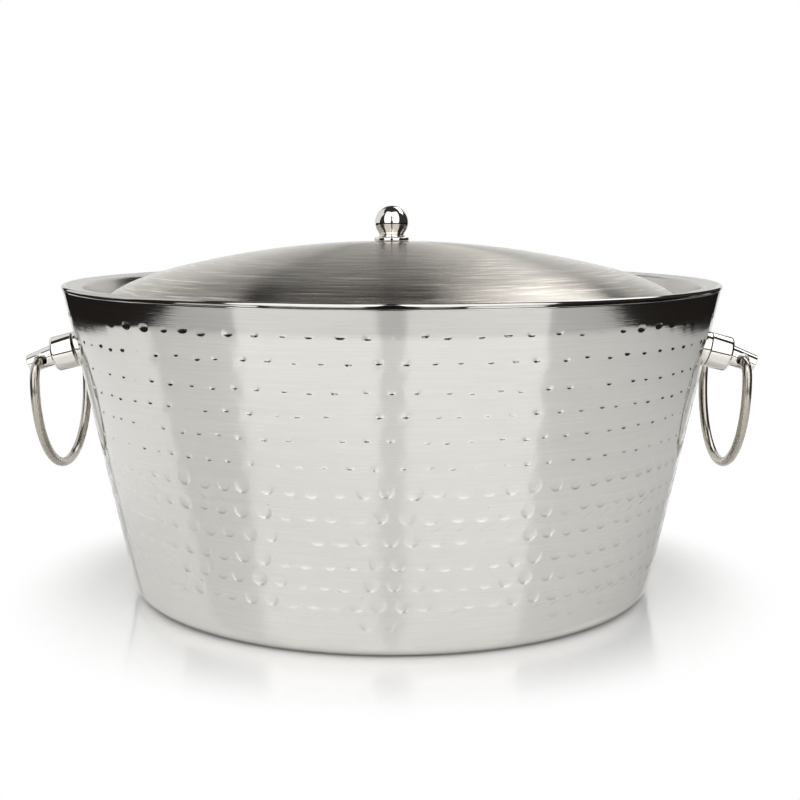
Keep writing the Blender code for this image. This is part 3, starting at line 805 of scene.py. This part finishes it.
def post_shape(name, side, finish):
    """The tapered post turned about its axis, drilled across by a cylinder, with true normals on cone and bore.

    The cone's normal is the way out from the axis plus the taper along it. The bore's is the way to its own axis.
    A corner takes one of them where the cosine between it and the corner's face is over NEARLY_ALONG.
    """
    origin, turn = mount_frame(side)
    steeper = side * (POST_DROOP - HANDLE_DROOP)
    start = -POST_ROOT_RADIUS * math.tan(abs(steeper))
    profile = rounded(
        [(0, start), (POST_ROOT_RADIUS, start), (POST_TIP_RADIUS, POST_LENGTH), (0, POST_LENGTH)],
        [POST_ROOT_EDGE, POST_EDGE],
        10,
    )
    drill = np.array([(0, -1), (HOLE_RADIUS, -1), (HOLE_RADIUS, 1), (0, 1)]) * [1, DRILL_REACH]
    drill = turned(drill, 96)[..., [0, 2, 1]] + [0, 0, HOLE_REACH]
    blanks = [grid_mesh("blank", points)[0] for points in (turned(profile, MOUNT_COLUMNS), drill)]
    post, drill = (bpy.data.objects.new("blank", mesh) for mesh in blanks)
    for item in (post, drill):
        bpy.context.scene.collection.objects.link(item)
    cut = post.modifiers.new("cross hole", "BOOLEAN")
    cut.operation = "DIFFERENCE"
    cut.object = drill
    graph = bpy.context.evaluated_depsgraph_get()
    mesh = bpy.data.meshes.new_from_object(post.evaluated_get(graph))
    for item in (post, drill):
        bpy.data.objects.remove(item)
    mesh.name = f"drilled_post_{name}"
    mesh.shade_smooth()
    mesh.set_sharp_from_angle(angle=math.radians(30))
    corners = values_of(mesh.corner_normals, "vector", 3)
    spots = values_of(mesh.vertices, "co", 3)
    here = spots[values_of(mesh.loops, "vertex_index", kind=np.int32)]
    sizes = values_of(mesh.polygons, "loop_total", kind=np.int32)
    facing = np.repeat(values_of(mesh.polygons, "normal", 3), sizes, axis=0)
    taper = (POST_ROOT_RADIUS - POST_TIP_RADIUS) / (POST_LENGTH - start)
    cone = (unit(here * [1, 1, 0]) + [0, 0, taper]) / math.hypot(1, taper)
    to_bore = unit(([0, 0, HOLE_REACH] - here) * [1, 0, 1])
    for true_normals in (to_bore, cone):
        on_it = (facing * true_normals).sum(axis=1) > NEARLY_ALONG
        corners[on_it] = true_normals[on_it]
    spots = turn_about_y(turn_about_y(spots, steeper, (0, 0, boss_face())), turn, origin)
    mesh.vertices.foreach_set("co", spots.astype(np.float32).ravel())
    mesh.update()
    mesh.normals_split_custom_set(turn_about_y(corners, steeper + turn).tolist())
    placed(f"drilled_post_{name}", mesh, finish, "tub", [f"post_{name}"])


def bail_shape(name, side, finish):
    """Round wire carried along a closed path: a bar, two tight corners and a bow.

    The bow's centre lies under the bar. Each corner's arc touches the bar and, from inside, the bow, so its centre
    is BAIL_CORNER under the bar and BOW_RADIUS less BAIL_CORNER from the bow's centre. A ring of the wire is the
    path's point plus the wire's radius times (cos a across the path, sin a out of its plane).
    """
    corner_y = math.sqrt((BOW_RADIUS - BAIL_CORNER) ** 2 - (BOW_DEPTH - BAIL_CORNER) ** 2)
    meets = math.degrees(math.atan2(BOW_DEPTH - BAIL_CORNER, corner_y))
    path = np.concatenate([
        [(y, 0) for y in np.linspace(-corner_y, corner_y, 24)[:-1]],
        arc((corner_y, -BAIL_CORNER), BAIL_CORNER, 90, meets, 5),
        arc((0, -BOW_DEPTH), BOW_RADIUS, meets, -180 - meets, 2.5)[1:],
        arc((-corner_y, -BAIL_CORNER), BAIL_CORNER, 180 - meets, 90, 5)[1:-1],
    ])
    path[:, 0] += BAIL_SLIDE
    along = unit(np.roll(path, -1, axis=0) - np.roll(path, 1, axis=0))
    across = along[:, ::-1] * [-1, 1]
    angle = even_angles(32)
    ring = path[:, None] + across[:, None] * (WIRE_RADIUS * np.cos(angle))[None, :, None]
    out = np.broadcast_to(WIRE_RADIUS * np.sin(angle), ring.shape[:2])
    points = np.stack([out, ring[..., 0], ring[..., 1]], axis=2)
    face = boss_face()
    reach = wall_radius(HANDLE_HEIGHT) + face * math.cos(HANDLE_DROOP) + HOLE_REACH * math.cos(POST_DROOP)
    up = HANDLE_HEIGHT - face * math.sin(HANDLE_DROOP) - HOLE_REACH * math.sin(POST_DROOP) - BAIL_DROP
    rest = Euler((-BAIL_TIP, side * BAIL_LEAN, side * BAIL_YAW[name]), "YXZ").to_matrix()
    points = points @ np.array(rest).T + [side * reach, 0, up]
    node = f"bail_{name}"
    surface(f"wire_{node}", points, finish, node, [node], close_rows=True, crease=60)


# Materials

def linear(code):
    """An sRGB hex colour as linear red, green, blue and one."""
    channel = np.array([int(code[k : k + 2], 16) for k in (1, 3, 5)]) / 255
    value = np.where(channel <= 0.04045, channel / 12.92, ((channel + 0.055) / 1.055) ** 2.4)
    return (*value.tolist(), 1)


def add(tree, kind, values=None, links=None, out=0, **settings):
    """Adds a node with its own settings and its inputs' values and links, and gives one of its outputs."""
    item = tree.nodes.new("ShaderNode" + kind)
    for key, value in settings.items():
        setattr(item, key, value)
    for key, value in (values or {}).items():
        item.inputs[key].default_value = value
    for key, value in (links or {}).items():
        tree.links.new(value, item.inputs[key])
    return item.outputs[out] if len(item.outputs) else None


def new_material(name):
    """An empty node material and its tree."""
    material = bpy.data.materials.new(name)
    material.use_nodes = True
    material.node_tree.nodes.clear()
    return material, material.node_tree


def metal(material, tree, values, links, drawn_out=0):
    """Ends a material in a metal's shader. Where it is ground or brushed in rings, its shine is drawn out."""
    if drawn_out:
        values = {**values, "Anisotropic": drawn_out, "Anisotropic Rotation": 0.25}
        links = {**links, "Tangent": add(tree, "Tangent", direction_type="RADIAL", axis="Z")}
    shader = add(tree, "BsdfPrincipled", {"Metallic": 1, **values}, links)
    add(tree, "OutputMaterial", links={"Surface": shader})
    return material


def from_axis(tree):
    """A point's place, the same without its height, and its distance from Z."""
    place = add(tree, "TexCoord", out="Object")
    flat = add(tree, "VectorMath", {1: (1, 1, 0)}, {0: place}, operation="MULTIPLY")
    return place, flat, add(tree, "VectorMath", links={0: flat}, operation="LENGTH", out="Value")


def round_grain(tree, width, along, detail, rough):
    """Noise that is fine across the brushing and slow along it.

    Its vector is the distance from Z plus the height, over the grain's width, and the direction from Z times a
    number that says how often a scratch changes in one turn.
    """
    place, flat, reach = from_axis(tree)
    height = add(tree, "SeparateXYZ", links={0: place}, out=2)
    way = add(tree, "VectorMath", links={0: flat}, operation="NORMALIZE")
    turn = add(tree, "VectorMath", {1: (along, along, 0)}, {0: way}, operation="MULTIPLY")
    slant = add(tree, "Math", links={0: reach, 1: height}, operation="ADD")
    across = add(tree, "Math", {1: 1 / width}, {0: slant}, operation="MULTIPLY")
    lift = add(tree, "CombineXYZ", links={2: across})
    vector = add(tree, "VectorMath", links={0: turn, 1: lift}, operation="ADD")
    return add(tree, "TexNoise", {"Scale": 1, "Detail": detail, "Roughness": rough}, {"Vector": vector})


def streaked(tree, colour, grain, dark, light, share):
    """The colour times a share, and times a number that goes from dark to light with the grain."""
    depth = add(tree, "MapRange", {**GRAIN_SPAN, "To Min": dark, "To Max": light}, {"Value": grain})
    depth = add(tree, "Math", links={0: depth, 1: share}, operation="MULTIPLY")
    return add(tree, "VectorMath", {0: linear(colour)[:3]}, {1: depth}, operation="MULTIPLY")


def hammered_steel(name, colour):
    """Stainless sheet, satin ground round the tub and burnished by the hammer: bands with sharp upright edges.

    The plain band under the lip is burnished by the roller that turned the lip, so that it draws a sharper edge
    than the hammered wall. Its colour is also painted a fifth darker there: painted shade for the darker
    surroundings that the band reflects.
    """
    material, tree = new_material(name)
    grain = round_grain(tree, GROUND_LINES, 5, 3, 0.6)
    shade = add(tree, "MapRange", {**GRAIN_SPAN, "To Min": 0.06, "To Max": 0.11}, {"Value": grain})
    bump = add(tree, "Bump", {"Strength": 0.06, "Distance": 0.0002}, {"Height": grain})
    height = add(tree, "SeparateXYZ", links={0: add(tree, "TexCoord", out="Object")}, out=2)
    # The band's factor: it smooths the band's roughness, and as painted shade it darkens the band's colour
    plain = add(tree, "MapRange",
                {"From Min": BAND_FOOT - 0.001, "From Max": BAND_FOOT + BAND_BLEND, "To Min": 1, "To Max": 0.80},
                {"Value": height})
    burnish = add(tree, "Math", {1: 2.0}, {0: plain}, operation="POWER")
    gloss = add(tree, "Math", links={0: shade, 1: burnish}, operation="MULTIPLY")
    streaks = streaked(tree, colour, grain, 0.95, 1.05, plain)
    return metal(material, tree, {}, {"Base Color": streaks, "Roughness": gloss, "Normal": bump}, 0.7)


def satin_steel(name, colour):
    """Stainless sheet, satin ground round the inside and burnished where the lip was rolled: a soft sheen with
    faint rings, and a sharp bright line along the lip."""
    material, tree = new_material(name)
    grain = round_grain(tree, GROUND_LINES, 4, 3, 0.6)
    shade = add(tree, "MapRange", {**GRAIN_SPAN, "To Min": 0.20, "To Max": 0.28}, {"Value": grain})
    rolled = add(tree, "MapRange",
                 {"From Min": RIM.x - 0.0030, "From Max": RIM.x - 0.0018, "To Min": 1, "To Max": 0.35},
                 {"Value": from_axis(tree)[2]})
    gloss = add(tree, "Math", links={0: shade, 1: rolled}, operation="MULTIPLY")
    bump = add(tree, "Bump", {"Strength": 0.06, "Distance": 0.0002}, {"Height": grain})
    return metal(material, tree, {"Base Color": linear(colour)}, {"Roughness": gloss, "Normal": bump}, 0.5)


def brushed_steel(name, colour):
    """Stainless sheet brushed in rings on a lathe: highlights fan out from the knob, with long fine scratches.

    Close to the knob the sheet is polished smoother, so that it mirrors the knob in upright streaks. Toward the
    edge the scratches are brighter.
    """
    material, tree = new_material(name)
    fine = round_grain(tree, BRUSHED_LINES, 2.4, 4, 0.65)
    scratches = round_grain(tree, SCRATCHES, 3.2, 2, 0.6)
    broad = round_grain(tree, BROAD_STREAKS, 2.2, 2, 0.7)
    reach = from_axis(tree)[2]
    outer = add(tree, "MapRange", {"From Min": 0.07, "From Max": 0.13, "To Min": 1.12, "To Max": 1.6},
                {"Value": reach})
    bright = add(tree, "MapRange", {"From Min": 0.53, "From Max": 0.67, "To Min": 0.96},
                 {"Value": scratches, "To Max": outer})
    shade = add(tree, "MapRange", {**GRAIN_SPAN, "To Min": 0.19, "To Max": 0.27}, {"Value": fine})
    middle = add(tree, "MapRange", {"From Min": 0.016, "From Max": 0.036, "To Min": 0.55, "To Max": 1},
                 {"Value": reach})
    gloss = add(tree, "Math", links={0: shade, 1: middle}, operation="MULTIPLY")
    waves = add(tree, "Bump", {"Strength": 0.5, "Distance": 0.0006}, {"Height": broad})
    bump = add(tree, "Bump", {"Strength": 0.2, "Distance": 0.0002}, {"Height": fine, "Normal": waves})
    streaks = streaked(tree, colour, fine, 0.79, 1.21, bright)
    return metal(material, tree, {}, {"Base Color": streaks, "Roughness": gloss, "Normal": bump}, 1)


def polished_steel(name, colour):
    """Turned steel, mirror polished: sharp reflections, broken a little by a haze of handling.

    Narrow gaps and crevices between pieces are painted nearly black. This is painted shade: an ambient occlusion
    measure darkens the colour where little light gets in.
    """
    material, tree = new_material(name)
    haze = add(tree, "TexNoise", {"Scale": 220, "Detail": 3, "Roughness": 0.6},
               {"Vector": add(tree, "TexCoord", out="Object")})
    shade = add(tree, "MapRange", {"From Min": 0.35, "From Max": 0.75, "To Min": 0.04, "To Max": 0.09},
                {"Value": haze})
    # Painted shade: the colour is darkened where nearby surfaces close the point in
    open_share = add(tree, "AmbientOcclusion", {"Distance": 0.003}, samples=8, out="AO")
    crevice_painted_shade = add(tree, "MapRange", {"From Min": 0.2, "From Max": 0.42, "To Min": 0.05, "To Max": 1},
                {"Value": open_share})
    steel = add(tree, "VectorMath", {0: linear(colour)[:3]}, {1: crevice_painted_shade}, operation="MULTIPLY")
    return metal(material, tree, {}, {"Base Color": steel, "Roughness": shade})


def mottled_steel(name, colour, scale, detail, low, high):
    """Steel without a grain, whose roughness varies with a plain noise from low to high."""
    material, tree = new_material(name)
    place = add(tree, "TexCoord", out="Object")
    mottle = add(tree, "TexNoise", {"Scale": scale, "Detail": detail}, {"Vector": place})
    shade = add(tree, "MapRange", {**GRAIN_SPAN, "To Min": low, "To Max": high}, {"Value": mottle})
    return metal(material, tree, {"Base Color": linear(colour)}, {"Roughness": shade})


def drawn_wire(name, colour):
    """Steel wire, drawn and tumbled: a satin grey-beige, its sheen a little uneven along the wire."""
    return mottled_steel(name, colour, 70, 1, 0.18, 0.22)


def fixing_steel(name, colour):
    """Zinc-plated steel, barrel finished: a dull even grey."""
    return mottled_steel(name, colour, 900, 2, 0.28, 0.42)


def table_top(colour):
    """White acrylic under a sheet of glass: white, with a mirror image that grows toward the horizon.

    Its colour is painted a little darker close to the tub, a painted contact shadow, and the camera sees it run
    out into the white backdrop.
    """
    material, tree = new_material("white_acrylic_under_glass")
    place = add(tree, "TexCoord", out="Object")
    reach = add(tree, "VectorMath", links={0: place}, operation="LENGTH", out="Value")
    # Painted contact shadow: the table's colour is darkened toward the tub's foot
    close = add(tree, "MapRange", {"From Min": 0.16, "From Max": 0.30, "To Min": 0.90, "To Max": 1},
                {"Value": reach})
    shaded = add(tree, "VectorMath", {0: linear(colour)[:3]}, {1: close}, operation="MULTIPLY")
    top = add(tree, "BsdfPrincipled",
              {"Roughness": 0.18, "IOR": 1.49, "Coat Weight": 0.6, "Coat Roughness": 0.13, "Coat IOR": 1.52},
              {"Base Color": shaded})
    white = add(tree, "Emission", {"Color": (1, 1, 1, 1), "Strength": 1})
    fade = add(tree, "MapRange", {"From Min": 0.175, "From Max": 0.245}, {"Value": reach},
               interpolation_type="SMOOTHSTEP")
    seen = add(tree, "LightPath", out="Is Camera Ray")
    share = add(tree, "Math", links={0: fade, 1: seen}, operation="MULTIPLY")
    both = add(tree, "MixShader", links={0: share, 1: top, 2: white})
    add(tree, "OutputMaterial", links={"Surface": both})
    return material


def matt(name, colour):
    """A plain matt colour for paper, cloth and painted board: no sheen."""
    material, tree = new_material(name)
    add(tree, "OutputMaterial", links={"Surface": add(tree, "BsdfDiffuse", {"Color": linear(colour)})})
    return material


# The studio

def board(name, near, far, finish, seen=False):
    """A flat piece of the studio between two level edges, which the camera may or may not see.

    Each edge is its half width in X, and its y and z.
    """
    (near_half, *near_at), (far_half, *far_at) = near, far
    corners = [(-near_half, *near_at), (near_half, *near_at), (far_half, *far_at), (-far_half, *far_at)]
    mesh = bpy.data.meshes.new(name)
    mesh.from_pydata(corners, [], [(0, 1, 2, 3)])
    mesh.materials.append(finish)
    item = bpy.data.objects.new(name, mesh)
    bpy.context.scene.collection.objects.link(item)
    item.visible_camera = seen


def softbox(name, azimuth, elevation, distance, width, height, radiance):
    """A rectangular lamp that faces the tub, placed by its azimuth from the camera's side and its elevation."""
    lamp = bpy.data.lights.new(name, "AREA")
    lamp.shape = "RECTANGLE"
    lamp.size = width
    lamp.size_y = height
    lamp.energy = radiance * width * height * math.pi
    item = bpy.data.objects.new(name, lamp)
    bpy.context.scene.collection.objects.link(item)
    round_angle, up_angle = math.radians(azimuth), math.radians(elevation)
    item.location = (
        distance * math.cos(up_angle) * math.sin(round_angle),
        -distance * math.cos(up_angle) * math.cos(round_angle),
        LAMP_AIM + distance * math.sin(up_angle),
    )
    item.rotation_euler = (math.pi / 2 - up_angle, 0, round_angle)
    item.visible_camera = False


def backdrop(room):
    """White where the camera looks at it, and a dim room round the softboxes for every other ray.

    Metal sees the real table, card and room instead of that white, because dark patches of the room shape it.
    """
    world = bpy.data.worlds.new("studio")
    world.use_nodes = True
    tree = world.node_tree
    tree.nodes.clear()
    seen = add(tree, "LightPath", out="Is Camera Ray")
    dim = add(tree, "Background", {"Color": (room, room, room, 1), "Strength": 1})
    white = add(tree, "Background", {"Color": (1, 1, 1, 1), "Strength": 1})
    add(tree, "OutputWorld", links={"Surface": add(tree, "MixShader", links={0: seen, 1: dim, 2: white})})
    bpy.context.scene.world = world


def camera_stand():
    """The black tripod and boom between the front softboxes, which metal shows as an upright dark streak."""
    cloth = matt("black_cloth", "#1B1B1D")
    board("tripod", *TRIPOD, cloth)
    edges = []
    for lift, half_turn in STAND_EDGES:
        up_angle, half = math.radians(lift), STAND_DISTANCE * math.tan(math.radians(half_turn))
        edges.append((half, -STAND_DISTANCE * math.cos(up_angle), LAMP_AIM + STAND_DISTANCE * math.sin(up_angle)))
    for k, (low, high) in enumerate(zip(edges, edges[1:])):
        board(f"stand_{k}", low, high, cloth)


FINISHES = {
    "hammered": (hammered_steel, "satin_ground_stainless_hammered"),
    "inside": (satin_steel, "satin_ground_stainless"),
    "lid": (brushed_steel, "ring_brushed_stainless"),
    "polished": (polished_steel, "mirror_polished_steel"),
    "wire": (drawn_wire, "drawn_tumbled_steel_wire"),
    "fixings": (fixing_steel, "zinc_plated_steel"),
}


def finish_of(name):
    """The material of a finish, made once."""
    maker, title = FINISHES[name]
    return bpy.data.materials.get(title) or maker(title, getattr(bpy.context.scene.beverage_tub.finish, name))


class TUB_OT_hammered_wall(bpy.types.Operator):
    """Make the outer sheet with its hammer marks"""

    bl_idname = "beverage_tub.hammered_wall"
    bl_label = "Hammered wall"

    def execute(self, context):
        hammered_wall(context.scene.beverage_tub.wall, finish_of("hammered"))
        return {"FINISHED"}


class TUB_OT_inner_wall(bpy.types.Operator):
    """Make the inner sheet with its ledge, land and rolled lip"""

    bl_idname = "beverage_tub.inner_wall"
    bl_label = "Inner wall and lip"

    def execute(self, context):
        inner_wall(context.scene.beverage_tub.wall, finish_of("inside"))
        return {"FINISHED"}


class TUB_OT_lid(bpy.types.Operator):
    """Make the domed lid with its beaded edge"""

    bl_idname = "beverage_tub.lid"
    bl_label = "Lid"

    def execute(self, context):
        lid_shape(finish_of("lid"))
        return {"FINISHED"}


class TUB_OT_knob(bpy.types.Operator):
    """Make the knob, its flange, and its washer and screw"""

    bl_idname = "beverage_tub.knob"
    bl_label = "Knob"

    def execute(self, context):
        knob_shapes(finish_of("polished"), finish_of("fixings"))
        return {"FINISHED"}


class TUB_OT_handle_mounts(bpy.types.Operator):
    """Make the collars, bosses and drilled posts, and finish the screws inside the wall"""

    bl_idname = "beverage_tub.handle_mounts"
    bl_label = "Handle mounts"

    def execute(self, context):
        polished, fixing = finish_of("polished"), finish_of("fixings")
        for name, side in SIDES.items():
            collar_shape(name, side, polished)
            boss_shape(name, side, polished)
            post_shape(name, side, polished)
            for node in (f"wall_washer_{name}", f"wall_screw_{name}"):
                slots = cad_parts[node].data.materials
                slots.clear()
                slots.append(fixing)
        return {"FINISHED"}


class TUB_OT_bails(bpy.types.Operator):
    """Make the two wire bails"""

    bl_idname = "beverage_tub.bails"
    bl_label = "Bails"

    def execute(self, context):
        for name, side in SIDES.items():
            bail_shape(name, side, finish_of("wire"))
        return {"FINISHED"}


class TUB_OT_stage(bpy.types.Operator):
    """Set up the table, backdrop, softboxes and camera"""

    bl_idname = "beverage_tub.stage"
    bl_label = "Stage"

    def execute(self, context):
        studio = context.scene.beverage_tub.studio
        half, back = studio.table_half_width, studio.table_back
        board("table", (half, -studio.table_front, 0), (half, back, 0), table_top(studio.table_colour), seen=True)
        board("back_card", (half, back, 0), (half, back, studio.card_height), matt("white_card", "#F4F4F2"))
        board("room_floor", *ROOM_FLOOR, matt("dark_boards", "#2B2826"))
        backdrop(studio.room)
        azimuth, *at = FRONT_SOFTBOX
        for name, side in SIDES.items():
            for part, (width, height, share) in FRONT_FACES.items():
                softbox(f"front_softbox_{name}_{part}", azimuth * side, *at, width, height,
                        share * studio.front_strength)
        softbox("side_softbox_left", *SIDE_SOFTBOXES["left"], studio.left_strength)
        softbox("side_softbox_right", *SIDE_SOFTBOXES["right"], studio.right_strength)
        camera_stand()
        lens = bpy.data.cameras.new("camera")
        lens.lens = studio.lens
        lens.shift_x = CAMERA_SHIFT
        camera = bpy.data.objects.new("camera", lens)
        context.scene.collection.objects.link(camera)
        camera.location = (0, -studio.camera_distance, studio.camera_height)
        camera.rotation_euler = (math.pi / 2 - studio.camera_pitch, 0, 0)
        context.scene.camera = camera
        context.scene.view_settings.view_transform = "Standard"
        return {"FINISHED"}


class TUB_PT_panel(bpy.types.Panel):
    """Lists the tub's pieces and settings"""

    bl_label = "Beverage tub"
    bl_idname = "TUB_PT_panel"
    bl_space_type = "VIEW_3D"
    bl_region_type = "UI"
    bl_category = "Tub"

    def draw(self, context):
        settings = context.scene.beverage_tub
        for group in (settings.wall, settings.finish, settings.studio):
            box = self.layout.box()
            for key in group.__annotations__:
                box.prop(group, key)
        for operator in OPERATORS:
            self.layout.operator(operator.bl_idname)


OPERATORS = (
    TUB_OT_hammered_wall,
    TUB_OT_inner_wall,
    TUB_OT_lid,
    TUB_OT_knob,
    TUB_OT_handle_mounts,
    TUB_OT_bails,
    TUB_OT_stage,
)
CLASSES = (TubWallSettings, TubFinishSettings, TubStudioSettings, TubSettings, *OPERATORS, TUB_PT_panel)


def register():
    for item in CLASSES:
        bpy.utils.register_class(item)
    bpy.types.Scene.beverage_tub = bpy.props.PointerProperty(type=TubSettings)


def unregister():
    del bpy.types.Scene.beverage_tub
    for item in reversed(CLASSES):
        bpy.utils.unregister_class(item)


def main():
    register()
    bpy.ops.beverage_tub.hammered_wall()
    bpy.ops.beverage_tub.inner_wall()
    bpy.ops.beverage_tub.lid()
    bpy.ops.beverage_tub.knob()
    bpy.ops.beverage_tub.handle_mounts()
    bpy.ops.beverage_tub.bails()
    bpy.ops.beverage_tub.stage()


if __name__ == "__main__":
    main()
